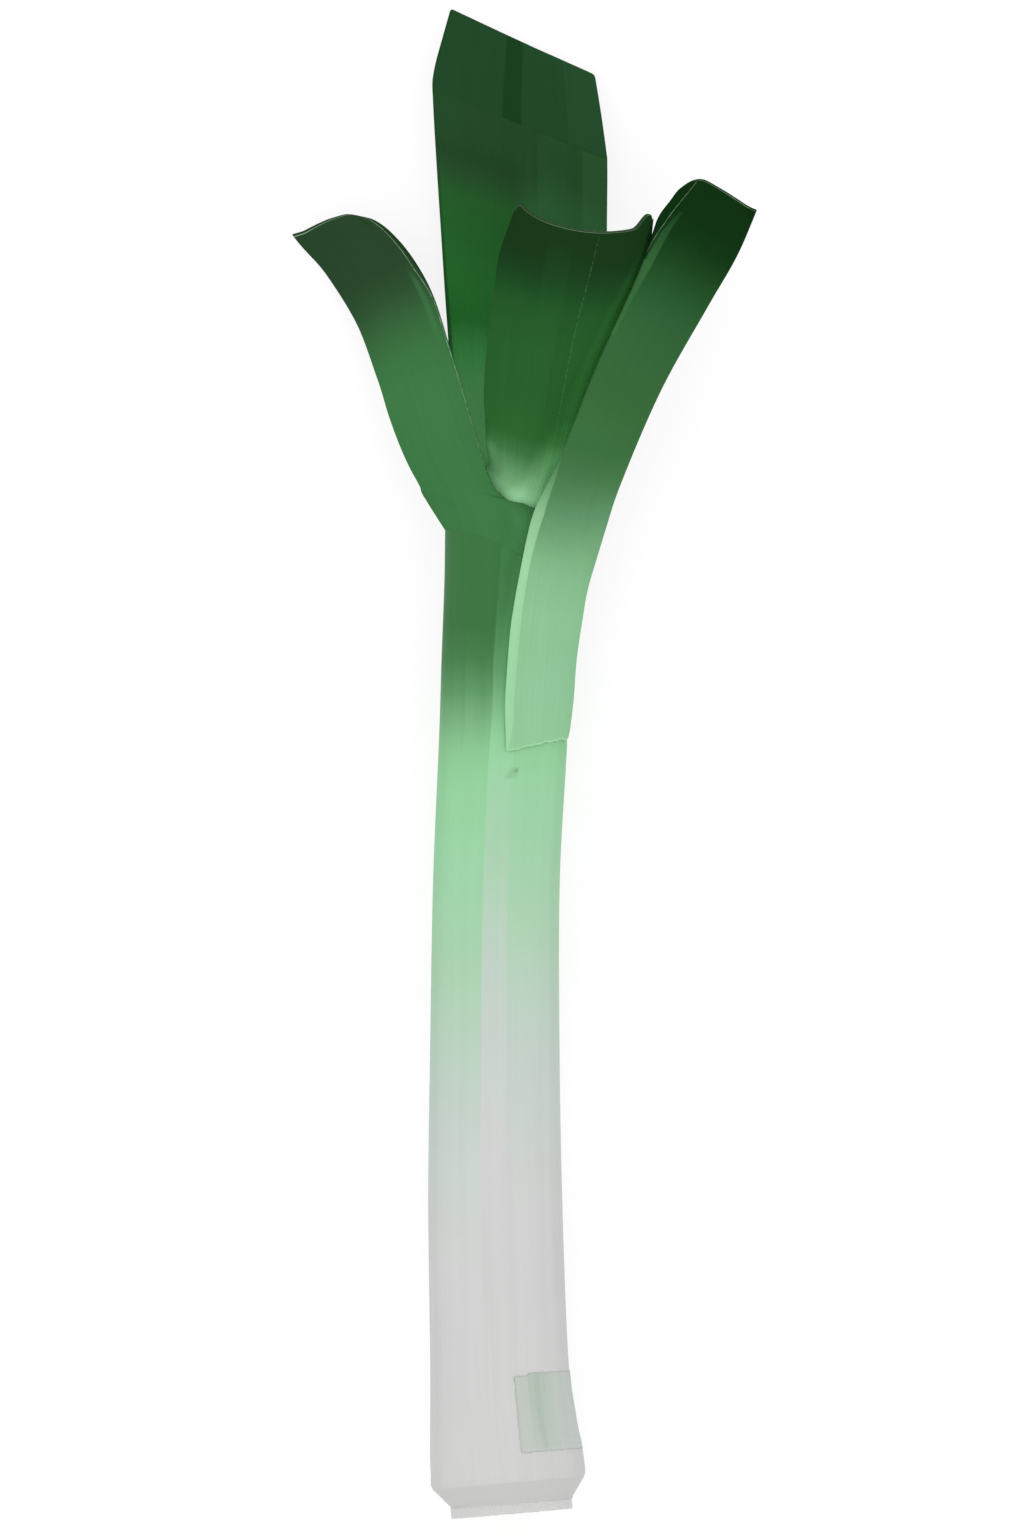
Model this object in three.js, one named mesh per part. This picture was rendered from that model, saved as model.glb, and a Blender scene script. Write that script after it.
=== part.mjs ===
// A trimmed long green onion of the leek type, lying on a flat surface.
//
// Millimetres, +Z up. The onion lies along Y with its root end towards -Y. The plant frame
// below starts at the centre of the root plate: y runs up the plant, x is to its right and
// z is the height above the surface. The finished group is centred over its own box.

import * as THREE from 'three';

// ---------------------------------------------------------------------------
// Driving dimensions
// ---------------------------------------------------------------------------

const ROOT_PLATE_RADIUS = 15.3;
const ROOT_PLATE_THICKNESS = 2.6;
const ROOT_PLATE_TILT = 5;
const ROOT_PLATE_LEAN = -3.4;
const CROWN_HEIGHT = 19.1;

const BLADE_THICKNESS = 2.2;

const SHANK_SIDES = 44;
const LEAF_COLUMNS = 12;

const COLOURS = {
  shank: 0xb4d3b8,
  rootPlate: 0xd0d0cc,
  tornSkin: 0xb8c4ba,
  leafRight: 0x3e6c40,
  leafLeft: 0x407947,
  leafMiddle: 0x2b5f2b,
  leafBack: 0x264f2b,
};

// ---------------------------------------------------------------------------
// Shared shaping
// ---------------------------------------------------------------------------

/** A smooth run of values through rows of numbers that all share one parameter from 0 to 1. */
class SmoothTable {
  constructor(rows) {
    const columns = Object.keys(rows[0]);
    this.columns = columns;
    this.curves = columns.map((name) => {
      const points = rows.map((row) => new THREE.Vector3(row[name], 0, 0));
      return new THREE.CatmullRomCurve3(points, false, 'catmullrom', 0.5);
    });
  }

  at(t) {
    const values = {};
    this.columns.forEach((name, index) => {
      values[name] = this.curves[index].getPoint(t).x;
    });
    return values;
  }
}

/** Moves every vertex of a geometry by a rule, and drops what no longer fits the new shape. */
function reshape(geometry, rule) {
  const position = geometry.getAttribute('position');
  const point = new THREE.Vector3();
  for (let index = 0; index < position.count; index += 1) {
    point.fromBufferAttribute(position, index);
    const moved = rule(point);
    position.setXYZ(index, moved.x, moved.y, moved.z);
  }
  geometry.deleteAttribute('uv');
  geometry.computeVertexNormals();
  return geometry;
}

function namedMesh(name, geometry, colour, roughness) {
  const material = new THREE.MeshStandardMaterial({ color: colour, roughness, metalness: 0 });
  const mesh = new THREE.Mesh(geometry, material);
  mesh.name = name;
  return mesh;
}

// ---------------------------------------------------------------------------
// Shank
// ---------------------------------------------------------------------------

// Each row is a ring: its distance from the root plate, its left and right sides, the height
// of its centre, its slant (y lost for each millimetre to the right), its lean (y gained for
// each millimetre of height), as the root end was not cut quite square, and its bow (y lost
// with the square of the distance to either side).
const SHANK_ROWS = [
  shankRow(1.7, -15.3, 15.3, 19.1, -0.09, 0.06),
  shankRow(6.5, -19.9, 18.3, 19.1, -0.09, 0.06),
  shankRow(10, -20.3, 18.3, 19.1, -0.08, 0.06),
  shankRow(14, -20.5, 17.7, 19.0, -0.08, 0.06),
  shankRow(22, -20.5, 16.1, 18.9, -0.07, 0.06),
  shankRow(38, -20.5, 14.2, 18.6, -0.05, 0.05),
  shankRow(78, -21.0, 12.7, 18.2, -0.02, 0.02),
  shankRow(118, -20.5, 12.0, 17.6, 0, 0),
  shankRow(158, -19.8, 12.1, 17.1, 0, 0),
  shankRow(194, -18.3, 14.0, 16.7, 0.02, 0),
  shankRow(212, -17.7, 13.7, 16.5, 0.12, 0),
  shankRow(229, -17.0, 14.6, 16.3, 0.32, 0, 0.005),
  shankRow(241.1, -16.8, 15.4, 16.2, 0.574, 0, 0.0162),
];

function shankRow(y, left, right, z, slant, lean, bow = 0) {
  return { y, left, right, z, slant, lean, bow };
}

// Above the seam the shank narrows in two steps to the rolled heart between the leaves.
const NECK_RADIUS = 13.4;
const HEART_RADIUS = 10.3;
const HEART_START = 248.2;
const HEART_TIP = 270;
const HEART_RINGS = 5;
const HEART_SLANT = 0.35;

const shankTable = new SmoothTable(SHANK_ROWS);

/** The ring at a share of the way through the rows. */
function ringAt(t) {
  const { y, left, right, z, slant, lean, bow } = shankTable.at(t);
  return { y, x: (left + right) / 2, z, radius: (right - left) / 2, slant, lean, bow };
}

/** The ring of the shank at a distance y from the root plate. */
function shankRing(y) {
  let low = 0;
  let high = 1;
  for (let step = 0; step < 40; step += 1) {
    const middle = (low + high) / 2;
    if (shankTable.at(middle).y < y) {
      low = middle;
    } else {
      high = middle;
    }
  }
  return ringAt((low + high) / 2);
}

function ringPoint(ring, angle, radius) {
  const across = radius * Math.cos(angle);
  const above = radius * Math.sin(angle);
  return new THREE.Vector3(
    ring.x + across,
    ring.y - ring.slant * across - ring.bow * across ** 2 + ring.lean * above,
    ring.z + above,
  );
}

function shankRings() {
  const rings = [];
  const bodyRings = (SHANK_ROWS.length - 1) * 2;
  for (let step = 0; step <= bodyRings; step += 1) {
    rings.push(ringAt(step / bodyRings));
  }
  const seam = rings[rings.length - 1];
  const heart = { ...seam, slant: HEART_SLANT, bow: 0 };
  rings.push({ ...seam, radius: NECK_RADIUS });
  rings.push({ ...heart, y: HEART_START, radius: NECK_RADIUS - 0.2 });
  for (let step = 0; step <= HEART_RINGS; step += 1) {
    const part = step / HEART_RINGS;
    rings.push({
      ...heart,
      x: heart.x + 2 * part,
      z: heart.z - 1.5 * part,
      y: HEART_START + (HEART_TIP - HEART_START) * part,
      radius: HEART_RADIUS * Math.sqrt(1 - 0.97 * part ** 1.4),
      slant: heart.slant * (1 - part),
    });
  }
  return rings;
}

function makeShank() {
  const rings = shankRings();
  const last = rings.length - 1;
  const cylinder = new THREE.CylinderGeometry(1, 1, last, SHANK_SIDES, last);
  const geometry = reshape(cylinder, (point) => {
    const ring = rings[Math.round(point.y + last / 2)];
    const angle = Math.atan2(point.z, point.x);
    const radius = ring.radius * Math.min(1, Math.hypot(point.x, point.z));
    return ringPoint(ring, angle, radius);
  });
  return namedMesh('shank', geometry, COLOURS.shank, 0.45);
}

// ---------------------------------------------------------------------------
// Root plate
// ---------------------------------------------------------------------------

function makeRootPlate() {
  const disc = new THREE.CylinderGeometry(
    ROOT_PLATE_RADIUS, ROOT_PLATE_RADIUS, ROOT_PLATE_THICKNESS, SHANK_SIDES, 1,
  );
  const mesh = namedMesh('root_plate', disc, COLOURS.rootPlate, 0.7);
  mesh.position.set(0, 0, CROWN_HEIGHT);
  mesh.rotation.z = THREE.MathUtils.degToRad(ROOT_PLATE_TILT);
  mesh.rotation.x = THREE.MathUtils.degToRad(ROOT_PLATE_LEAN);
  return mesh;
}

// ---------------------------------------------------------------------------
// Torn skin
// ---------------------------------------------------------------------------

const SKIN_THICKNESS = 0.6;
const SKIN_GAP = 0.42;
const SKIN_FROM_Y = 13.7;
const SKIN_TO_Y = 33.5;
const SKIN_TOP_ANGLE = 78;
const SKIN_UNDER_ANGLE = -16;

function makeTornSkin() {
  const sheet = new THREE.BoxGeometry(1, 1, 1, 12, 8, 1);
  const geometry = reshape(sheet, (point) => {
    const along = point.y + 0.5;
    const across = point.x + 0.5;
    const outward = point.z + 0.5;
    const ring = shankRing(THREE.MathUtils.lerp(SKIN_FROM_Y, SKIN_TO_Y, along));
    const degrees = THREE.MathUtils.lerp(SKIN_TOP_ANGLE, SKIN_UNDER_ANGLE, across);
    const radius = ring.radius + SKIN_GAP + SKIN_THICKNESS * outward;
    return ringPoint(ring, THREE.MathUtils.degToRad(degrees), radius);
  });
  return namedMesh('torn_skin', geometry, COLOURS.tornSkin, 0.6);
}

// ---------------------------------------------------------------------------
// Leaves
// ---------------------------------------------------------------------------

// A leaf is a strap that follows its keel, the middle line of its outer face. Each row gives
// the keel's place, the roll of the outer face (0 looks up, + leans right), the arc width and
// curl of each half as they lie to the keel's left and right, and the slant of each half.

const SHANK_DIRECTION = new THREE.Vector3(0, 1, 0);
const CUT_FROM = 0.85;
const THIN_FROM = 0.8;
const BOW_TO = 0.15;

// The line along which the sheaths part from the neck falls away to both sides
const SEAM_BOW = 0.0162;

/** Builds a leaf from its rows, its thickness, the outline of its cut end and its base's bow. */
function makeLeaf(name, rows, options) {
  const { colour, rowsLong, squareBase, thickness, cutEnd, bow = 0 } = options;
  const table = new SmoothTable(rows);
  const keel = new THREE.CatmullRomCurve3(
    rows.map((row) => new THREE.Vector3(row.x, row.y, row.z)), false, 'catmullrom', 0.5,
  );
  const up = new THREE.Vector3(0, 0, 1);
  const box = new THREE.BoxGeometry(1, 1, 1, LEAF_COLUMNS, rowsLong, 1);

  const geometry = reshape(box, (point) => {
    const side = point.x * 2;
    const along = point.y + 0.5;
    const row = table.at(along);

    const departure = THREE.MathUtils.smoothstep(along, 0, squareBase);
    const tangent = SHANK_DIRECTION.clone().lerp(keel.getTangent(along), departure).normalize();
    const right = new THREE.Vector3().crossVectors(tangent, up).normalize();
    const over = new THREE.Vector3().crossVectors(right, tangent);
    const roll = THREE.MathUtils.degToRad(row.roll);
    const lateral = right.clone().multiplyScalar(Math.cos(roll))
      .addScaledVector(over, -Math.sin(roll));
    const outward = right.clone().multiplyScalar(Math.sin(roll))
      .addScaledVector(over, Math.cos(roll));

    const halfWidth = side < 0 ? row.left : row.right;
    const curl = THREE.MathUtils.degToRad(side < 0 ? row.curlLeft : row.curlRight);
    const bend = side * curl;
    const radius = halfWidth / curl;
    const depth = (point.z - 0.5) * thickness(Math.abs(side), along);

    const moved = new THREE.Vector3(row.x, row.y, row.z);
    moved.addScaledVector(lateral, (radius + depth) * Math.sin(bend));
    moved.addScaledVector(outward, (radius + depth) * Math.cos(bend) - radius);
    const sideways = moved.x - row.x;
    moved.y -= (side < 0 ? row.slantLeft : row.slantRight) * sideways;
    moved.y -= bow * sideways ** 2 * (1 - THREE.MathUtils.smoothstep(along, 0, BOW_TO));
    moved.addScaledVector(tangent, cutEnd(side) * THREE.MathUtils.smoothstep(along, CUT_FROM, 1));
    return moved;
  });
  return namedMesh(name, geometry, colour, 0.45);
}

/** Full thickness in the middle, thinner at the margins, at the tip and, if asked, the base. */
function strapThickness(tipShare, baseShare = 1, baseLength = 1) {
  return (side, along) => {
    const margin = 1 - 0.4 * side ** 4;
    const base = Math.min(1, baseShare + (1 - baseShare) * (along / baseLength));
    const thinned = THREE.MathUtils.smoothstep(along, THIN_FROM, 1);
    const tip = THREE.MathUtils.lerp(1, tipShare, thinned);
    return BLADE_THICKNESS * margin * base * tip;
  };
}

/** How far a cut end runs past its row (or, below zero, stops short) at its two corners. */
function corners(left, right, from, power = 1.5) {
  return (side) => {
    const share = Math.max(0, Math.abs(side) - from) / (1 - from);
    return (side < 0 ? left : right) * share ** power;
  };
}

function row(x, y, z, roll, left, right, curlLeft, curlRight, slantLeft, slantRight = slantLeft) {
  return { x, y, z, roll, left, right, curlLeft, curlRight, slantLeft, slantRight };
}

function makeRightLeaf() {
  const rows = [
    row(11.6, 193.2, 26.6, 54, 15.0, 8.3, 50, 29, -0.205, -0.16),
    row(12.2, 203, 27.0, 53, 16.1, 16.3, 53, 55, -0.1),
    row(12.6, 213, 27.6, 52, 16.0, 16.4, 53, 53, -0.05),
    row(13.6, 223, 28.9, 50, 15.5, 15.5, 50, 50, 0),
    row(14.9, 233, 30.4, 47, 14.7, 14.2, 46, 46, 0),
    row(18.2, 248, 32.8, 42, 14.7, 11.6, 40, 34, 0),
    row(21.9, 261, 35.2, 36, 11.15, 10.2, 27, 27, 0),
    row(30.7, 284, 39.4, 30, 10.45, 10.0, 19, 20, 0),
    row(41.0, 305, 42.8, 24, 10.95, 10.55, 16, 17, 0),
    row(48.2, 319, 42.6, 20, 12.85, 10.85, 18, 16, 0),
    row(53.8, 330.4, 39.4, 18, 11.6, 9.9, 17, 15, 0),
  ];
  return makeLeaf('leaf_right', rows, {
    colour: COLOURS.leafRight,
    rowsLong: 34,
    squareBase: 0.1,
    thickness: strapThickness(0.6, 0.17, 0.38),
    cutEnd: corners(-6.4, 0.7, 0.42, 2.9),
  });
}

function makeLeftLeaf() {
  const rows = [
    row(-8.1, 244.9, 30.5, -27, 24, 24, 86, 86, 0.334),
    row(-9.3, 249.6, 30.3, -27, 25, 23, 67, 66, 0.38, 0.36),
    row(-11.6, 254.5, 30.0, -26, 20.0, 20, 56, 42, 0.31, 0.37),
    row(-13.1, 257.1, 29.5, -26, 18.7, 13.1, 51, 34, 0.51, 0.66),
    row(-14.8, 260, 28.8, -26, 17.2, 11.5, 46, 30, 0.57, 0.72),
    row(-17.9, 266.5, 26.9, -26, 14.8, 10.9, 38, 28, 0.36, 0.3),
    row(-21.6, 277.5, 23.2, -26, 13.7, 10.5, 32, 27, 0.1, 0),
    row(-25.2, 289, 19.5, -25, 13.0, 10.6, 30, 26, 0),
    row(-30.7, 303.5, 15.0, -24, 12.8, 11.4, 26, 24, 0.05),
    row(-38.8, 316.7, 10.8, -22, 13.8, 12.1, 20, 20, 0.35),
    row(-46.6, 325.0, 8.2, -20, 15.3, 11.4, 18, 18, 0.72, 0.78),
  ];
  return makeLeaf('leaf_left', rows, {
    colour: COLOURS.leafLeft,
    rowsLong: 40,
    squareBase: 0.5,
    thickness: strapThickness(0.6),
    cutEnd: corners(1, -1.9, 0.6),
    bow: SEAM_BOW,
  });
}

// The middle leaf's cut rises to its left corner, which is nipped off, and has a small ear
// standing up near its right margin.
const MIDDLE_RISE = 2.4;
const NIP_FROM = 0.86;
const NIP_DEPTH = 4.6;
const EAR_HEIGHT = 2.9;
const EAR_DROP = 3.4;

function earedEnd(side) {
  const { smoothstep } = THREE.MathUtils;
  const nip = (NIP_DEPTH * Math.max(0, -side - NIP_FROM)) / (1 - NIP_FROM);
  const ear = EAR_HEIGHT * smoothstep(side, 0.44, 0.62) - EAR_DROP * smoothstep(side, 0.66, 0.9);
  return corners(MIDDLE_RISE, 0, 0.1)(side) - nip + ear;
}

function makeMiddleLeaf() {
  const rows = [
    row(4.5, 248.9, 28.0, 24, 19.2, 19.2, 86, 86, 0.3),
    row(7.0, 255.5, 29.4, 20, 16.5, 17.5, 80, 82, 0.1),
    row(9.0, 263, 32.3, 16, 19.5, 18, 75, 80, 0),
    row(11.2, 272, 36.0, 13, 22.6, 18.5, 72, 82, -0.05),
    row(13.9, 286, 41.6, 10, 25.4, 19, 70, 82, -0.1),
    row(16.4, 297.5, 46.2, 8, 28.2, 20, 72, 84, -0.15),
    row(19.1, 307.5, 50.2, 6, 31.4, 22.9, 76, 83, -0.2),
    row(22.1, 319.6, 54.7, 5, 32.2, 21.9, 84, 90, -0.18, -0.2),
  ];
  return makeLeaf('leaf_middle', rows, {
    colour: COLOURS.leafMiddle,
    rowsLong: 28,
    squareBase: 0.1,
    thickness: strapThickness(0.45),
    cutEnd: earedEnd,
  });
}

function makeBackLeaf() {
  const rows = [
    row(7.0, 236.3, 1.83, 151.5, 24, 24, 85, 85, 0.82),
    row(6.6, 250, 1.13, 157, 24, 24, 80, 80, 0.3),
    row(5.4, 263, 0.63, 166, 23.2, 23.2, 66, 66, 0.2),
    row(4.6, 285, 1.33, 175, 22, 22, 44, 44, 0.2),
    row(3.6, 308, 3.73, 178, 21.4, 21.7, 25, 25, 0.3),
    row(2.8, 330, 6.93, 180, 21.7, 22.1, 14, 14, 0.38),
    row(2.3, 346.3, 9.03, 180, 22.1, 22.4, 8, 8, 0.44),
    row(2.2, 350.8, 8.73, 180, 22.0, 22.2, 8, 8, 0.44),
    row(2.5, 360, 5.43, 180, 20.4, 20.4, 7, 7, 0.44),
    row(2.8, 369.65, 2.13, 180, 18.4, 18.4, 6, 6, 0.427),
  ];
  return makeLeaf('leaf_back', rows, {
    colour: COLOURS.leafBack,
    rowsLong: 36,
    squareBase: 0.1,
    thickness: strapThickness(0.6),
    cutEnd: () => 0,
    bow: SEAM_BOW,
  });
}

// ---------------------------------------------------------------------------
// The whole onion, centred over the box it fills and standing on z = 0
// ---------------------------------------------------------------------------

const plant = new THREE.Group();
plant.add(makeShank());
plant.add(makeRootPlate());
plant.add(makeTornSkin());
plant.add(makeRightLeaf());
plant.add(makeLeftLeaf());
plant.add(makeMiddleLeaf());
plant.add(makeBackLeaf());

plant.updateMatrixWorld(true);
const extent = new THREE.Box3().setFromObject(plant, true);
plant.position.set(
  -(extent.min.x + extent.max.x) / 2,
  -(extent.min.y + extent.max.y) / 2,
  -extent.min.z,
);

const onion = new THREE.Group();
onion.add(plant);
onion.updateMatrixWorld(true);

export default onion;
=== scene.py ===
import functools
import math

import bmesh
import bpy
from mathutils import Matrix, Vector, noise


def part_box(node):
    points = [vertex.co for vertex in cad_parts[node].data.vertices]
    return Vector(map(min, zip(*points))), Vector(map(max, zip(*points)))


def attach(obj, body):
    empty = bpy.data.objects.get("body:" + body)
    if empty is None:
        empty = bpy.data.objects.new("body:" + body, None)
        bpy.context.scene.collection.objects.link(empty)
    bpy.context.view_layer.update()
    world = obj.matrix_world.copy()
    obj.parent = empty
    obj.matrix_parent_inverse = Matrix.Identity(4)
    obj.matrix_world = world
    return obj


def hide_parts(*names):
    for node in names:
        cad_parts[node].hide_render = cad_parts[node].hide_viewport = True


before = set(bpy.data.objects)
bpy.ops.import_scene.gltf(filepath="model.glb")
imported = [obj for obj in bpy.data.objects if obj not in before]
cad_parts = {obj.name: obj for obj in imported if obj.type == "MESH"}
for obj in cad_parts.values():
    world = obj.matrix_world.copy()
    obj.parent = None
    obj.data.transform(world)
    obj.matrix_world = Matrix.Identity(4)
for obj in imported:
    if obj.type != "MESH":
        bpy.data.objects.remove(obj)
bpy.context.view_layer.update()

# ---------------------------------------------------------------------------
# Shank. The long pale stem is many rolled leaf sheaths grown into one firm, slightly bent
# cylinder, swollen at the root end. It is one skin of rings, drawn in to a neck and a rolled
# heart under the leaves, with shallow ribs and a small scar pressed into it.
# ---------------------------------------------------------------------------

MM = 0.001
CROWN_HEIGHT = 19.1
root_low, root_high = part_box("root_plate")
plant_foot = (root_low + root_high) / 2 - Vector((0, 0, CROWN_HEIGHT * MM))

# y from the root plate, left side, right side, height of the centre, slant, lean and bow
SHANK_ROWS = [
    (1.7, -15.3, 15.3, 19.1, -0.09, 0.06, 0),
    (6.5, -19.9, 18.3, 19.1, -0.09, 0.06, 0),
    (10, -20.3, 18.3, 19.1, -0.08, 0.06, 0),
    (14, -20.5, 17.7, 19.0, -0.08, 0.06, 0),
    (22, -20.5, 16.1, 18.9, -0.07, 0.06, 0),
    (38, -20.5, 14.2, 18.6, -0.05, 0.05, 0),
    (78, -21.0, 12.7, 18.2, -0.02, 0.02, 0),
    (118, -20.5, 12.0, 17.6, 0, 0, 0),
    (158, -19.8, 12.1, 17.1, 0, 0, 0),
    (194, -18.3, 14.0, 16.7, 0.02, 0, 0),
    (212, -17.7, 13.7, 16.5, 0.12, 0, 0),
    (229, -17.0, 14.6, 16.3, 0.32, 0, 0.005),
    (241.1, -16.8, 15.4, 16.2, 0.574, 0, 0.0162),
]
SHANK_SIDES = 160
SHANK_RING_GAP = 1.15
SHANK_ARC_RADIUS = 16.5
NECK_RADIUS, NECK_TAPER = 13.4, 0.2
HEART_RADIUS = 10.3
HEART_START, HEART_TIP, HEART_RINGS = 248.2, 270, 18
HEART_TAPER, HEART_TAPER_POWER = 0.97, 1.4
HEART_DRIFT_X, HEART_DRIFT_Z = 2, -1.5
HEART_ROLL, HEART_TWIST, HEART_CLOSING = 0.9, 0.045, 5
HEART_SLANT = 0.35
FOOT_LIP = 0.5
SEAM_LIP = 0.3
RIB_DEPTH, RIB_SPREAD, RIB_STRETCH = 0.11, 5.5, 0.008
SCAR_Y, SCAR_TURN = 185.4, 0.21
SCAR_LONG, SCAR_WIDE, SCAR_DEPTH, SCAR_FALL = 1.1, 1.7, 0.3, 1.6
SQUARE_FOOT_TO, SLANTED_FROM = 8, 30


class SmoothRows:
    """Rows of numbers joined by smooth curves, read at a share from 0 to 1."""

    def __init__(self, rows):
        self.rows = [Vector(row) for row in rows]

    @functools.lru_cache(maxsize=None)
    def at(self, share):
        spans = len(self.rows) - 1
        place = min(max(share, 0), 1) * spans
        index = min(int(place), spans - 1)
        t = place - index
        start, end = self.rows[index], self.rows[index + 1]
        before = self.rows[index - 1] if index > 0 else 2 * start - end
        after = self.rows[index + 2] if index + 2 <= spans else 2 * end - start
        leave, arrive = (end - before) / 2, (after - start) / 2
        square = 3 * (end - start) - 2 * leave - arrive
        cube = 2 * (start - end) + leave + arrive
        return start + t * (leave + t * (square + t * cube))

    def share_of(self, first_value):
        """The share at which the first column, which only rises, has this value."""
        low, high = 0, 1
        for _ in range(30):
            middle = (low + high) / 2
            if self.at(middle)[0] < first_value:
                low = middle
            else:
                high = middle
        return (low + high) / 2


def smoothstep(value, low, high):
    part = min(max((value - low) / (high - low), 0), 1)
    return part * part * (3 - 2 * part)


shank_rows = SmoothRows(SHANK_ROWS)


@functools.lru_cache(maxsize=None)
def shank_ring(y):
    """Centre x, y and z, radius, slant, lean and bow of the shank's ring at y."""
    if y < SHANK_ROWS[1][0]:
        chamfer = (y - SHANK_ROWS[0][0]) / (SHANK_ROWS[1][0] - SHANK_ROWS[0][0])
        row = Vector(SHANK_ROWS[0]).lerp(Vector(SHANK_ROWS[1]), chamfer)
    else:
        row = shank_rows.at(shank_rows.share_of(y))
    y, left, right, z, slant, lean, bow = row
    return Vector(((left + right) / 2, y, z, (right - left) / 2, slant, lean, bow))


def on_ring(ring, turn, radius):
    """A point on a ring, its turn counted from the top towards +X."""
    across = radius * math.sin(turn)
    above = radius * math.cos(turn)
    y = ring[1] - ring[4] * across + ring[5] * above - ring[6] * across**2
    return Vector((ring[0] + across, y, ring[2] + above))


def shank_rings():
    """Every ring of the shank from the root end to the tip of the heart."""
    length = SHANK_ROWS[-1][0] - SHANK_ROWS[0][0]
    count = round(length / SHANK_RING_GAP)
    rings = [shank_ring(SHANK_ROWS[0][0] + length * step / count) for step in range(count + 1)]
    foot, seam = rings[0].copy(), rings[-1].copy()
    foot[1] -= FOOT_LIP
    rings.insert(0, foot)
    seam[1] += SEAM_LIP
    rings.append(seam.copy())
    seam[3] = NECK_RADIUS
    rings.append(seam)
    x, z = seam[0], seam[2]
    rings.append(Vector((x, HEART_START, z, NECK_RADIUS - NECK_TAPER, HEART_SLANT, 0, 0)))
    for step in range(HEART_RINGS + 1):
        part = step / HEART_RINGS
        middle = (x + HEART_DRIFT_X * part, HEART_START + (HEART_TIP - HEART_START) * part)
        radius = HEART_RADIUS * math.sqrt(1 - HEART_TAPER * part**HEART_TAPER_POWER)
        slant = HEART_SLANT * (1 - part)
        rings.append(Vector((*middle, z + HEART_DRIFT_Z * part, radius, slant, 0, 0)))
    return rings


def shank_relief(y, turn):
    """How far the skin stands proud of its smooth ring."""
    around = Vector((math.sin(turn) * RIB_SPREAD, math.cos(turn) * RIB_SPREAD, y * RIB_STRETCH))
    relief = RIB_DEPTH * noise.noise(around)
    scar = ((y - SCAR_Y) / SCAR_LONG) ** 2 + ((turn - SCAR_TURN) * SHANK_ARC_RADIUS / SCAR_WIDE) ** 2
    relief -= SCAR_DEPTH * math.exp(-scar * SCAR_FALL)
    if y > HEART_START:
        roll = (turn / math.tau + (y - HEART_START) * HEART_TWIST) % 1
        relief -= HEART_ROLL * roll * (1 - smoothstep(y, HEART_TIP - HEART_CLOSING, HEART_TIP))
    return relief


def add_piece(name, shape, materials, nodes):
    """Turns a finished bmesh in millimetres into a smooth piece in its place on the plant."""
    for vert in shape.verts:
        vert.co = plant_foot + vert.co * MM
    mesh = bpy.data.meshes.new(name)
    shape.to_mesh(mesh)
    shape.free()
    for material in materials:
        mesh.materials.append(material)
    piece = bpy.data.objects.new(name, mesh)
    bpy.context.scene.collection.objects.link(piece)
    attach(piece, "root")
    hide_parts(*nodes)
    return piece


def shank_mesh():
    rings = shank_rings()
    past_seam = SHANK_ROWS[-1][0] + SEAM_LIP / 2
    lip = next(place for place, ring in enumerate(rings) if ring[1] > past_seam)
    sharp_rings = (1, lip, lip + 1)
    shape = bmesh.new()
    bmesh.ops.create_cone(
        shape, cap_ends=True, segments=SHANK_SIDES, radius1=1, radius2=1, depth=2,
    )
    upright = [edge for edge in shape.edges if abs(edge.verts[0].co.z - edge.verts[1].co.z) > 1]
    bmesh.ops.subdivide_edges(shape, edges=upright, cuts=len(rings) - 2, use_grid_fill=True)
    up = shape.verts.layers.float.new("up")
    turn_layer = shape.verts.layers.float.new("turn")
    for vert in shape.verts:
        place = round((vert.co.z + 1) / 2 * (len(rings) - 1))
        ring = rings[place]
        turn = math.atan2(vert.co.x, vert.co.y)
        vert.co = on_ring(ring, turn, ring[3] + shank_relief(ring[1], turn))
        slanted = smoothstep(ring[1], SQUARE_FOOT_TO, SLANTED_FROM)
        vert[up] = ring[1] + (vert.co.y - ring[1]) * slanted
        vert[turn_layer] = turn
        vert.tag = place in sharp_rings
    bmesh.ops.recalc_face_normals(shape, faces=shape.faces)
    for face in shape.faces:
        face.smooth = len(face.verts) == 4
    for edge in shape.edges:
        edge.smooth = not all(vert.tag for vert in edge.verts)
    return shape


def colour(code):
    """The linear colour of an sRGB code such as 8FC698."""
    channels = [int(code[at : at + 2], 16) / 255 for at in (0, 2, 4)]
    return [c / 12.92 if c <= 0.04045 else ((c + 0.055) / 1.055) ** 2.4 for c in channels] + [1]


def node(tree, kind, inputs=(), **settings):
    """Adds a shader node. Each input is a value, or the socket that feeds it."""
    made = tree.nodes.new("ShaderNode" + kind)
    for setting, value in settings.items():
        setattr(made, setting, value)
    for socket, value in dict(inputs).items():
        if isinstance(value, bpy.types.NodeSocket):
            tree.links.new(value, made.inputs[socket])
        else:
            made.inputs[socket].default_value = value
    return made


def calc(tree, operation, *values, clamp=False):
    return node(tree, "Math", enumerate(values), operation=operation, use_clamp=clamp).outputs[0]


def rescale(tree, value, low, high, to_low=0.0, to_high=1.0, soft=True):
    """Maps low..high of a value to to_low..to_high, held at both ends."""
    kind = "SMOOTHSTEP" if soft else "LINEAR"
    inputs = ((0, value), (1, low), (2, high), (3, to_low), (4, to_high))
    return node(tree, "MapRange", inputs, interpolation_type=kind).outputs[0]


def soft_noise(tree, place, scale, detail):
    """Cloudy noise between 0 and 1, read at a place."""
    inputs = (("Vector", place), ("Scale", scale), ("Detail", detail))
    return node(tree, "TexNoise", inputs).outputs[0]


def blended(tree, factor, under, over):
    """A colour mixed towards another by a factor."""
    return node(tree, "Mix", ((0, factor), (6, under), (7, over)), data_type="RGBA").outputs[2]


def brightened(tree, base, amount):
    """A colour made lighter or darker by a factor around 1."""
    return node(tree, "HueSaturation", (("Value", amount), ("Color", base))).outputs[0]


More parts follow.
